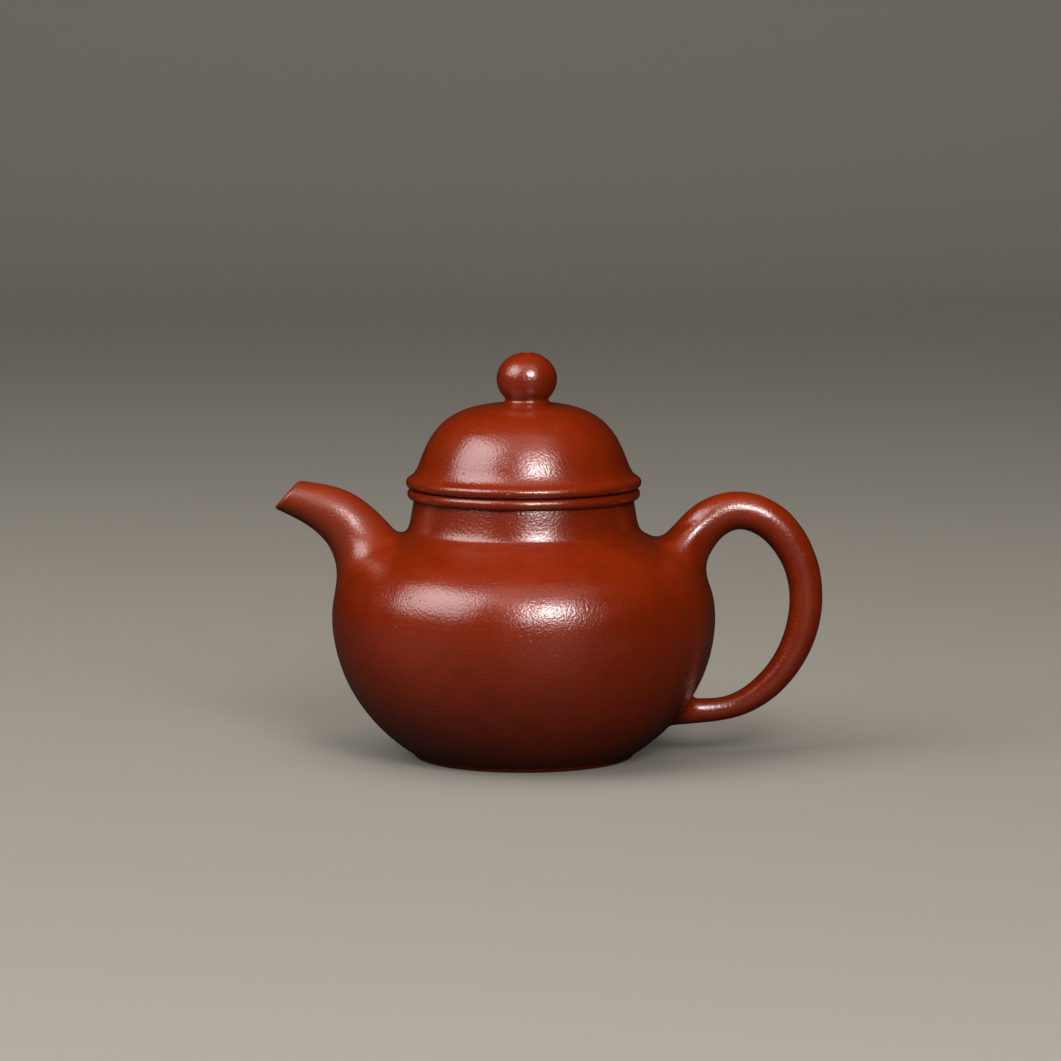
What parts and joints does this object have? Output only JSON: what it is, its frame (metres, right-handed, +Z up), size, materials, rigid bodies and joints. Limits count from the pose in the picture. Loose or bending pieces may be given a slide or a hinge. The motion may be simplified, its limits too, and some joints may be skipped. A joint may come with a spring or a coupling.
{
  "type": "teapot",
  "caption": "Small round-bellied unglazed clay teapot with a waisted neck, a domed overlay lid with a ball knob, a curved hollow spout and an ear-shaped coil handle.",
  "frame": {"origin": "centre of the foot, on the plane that the pot stands on and on the belly's axis", "axes": "+Z up, -X towards the spout, +X towards the handle, Y across the pot"},
  "size_m": [0.1284, 0.09, 0.0952],
  "materials": {
    "burnished_clay": "unglazed, burnished to a soft gloss",
    "plain_clay": "unglazed, scraped smooth, matt"
  },
  "bodies": {
    "pot": {"body_wall": "burnished_clay", "base_disc": "plain_clay", "shoulder_disc": "burnished_clay", "neck_collar": "burnished_clay", "mouth_ring": "plain_clay", "lip_bead": "burnished_clay", "spout": "burnished_clay", "strainer": "plain_clay", "handle": "burnished_clay"},
    "lid": {"lid_ring": "plain_clay", "lid_bead": "burnished_clay", "lid_flange": "plain_clay", "lid_dome": "burnished_clay", "knob": "burnished_clay"}
  },
  "joints": [
    {"name": "lid_lift", "type": "slide", "parent": "pot", "child": "lid", "axis": [0, 0, 1], "range_m": [0, 0.06]}
  ]
}
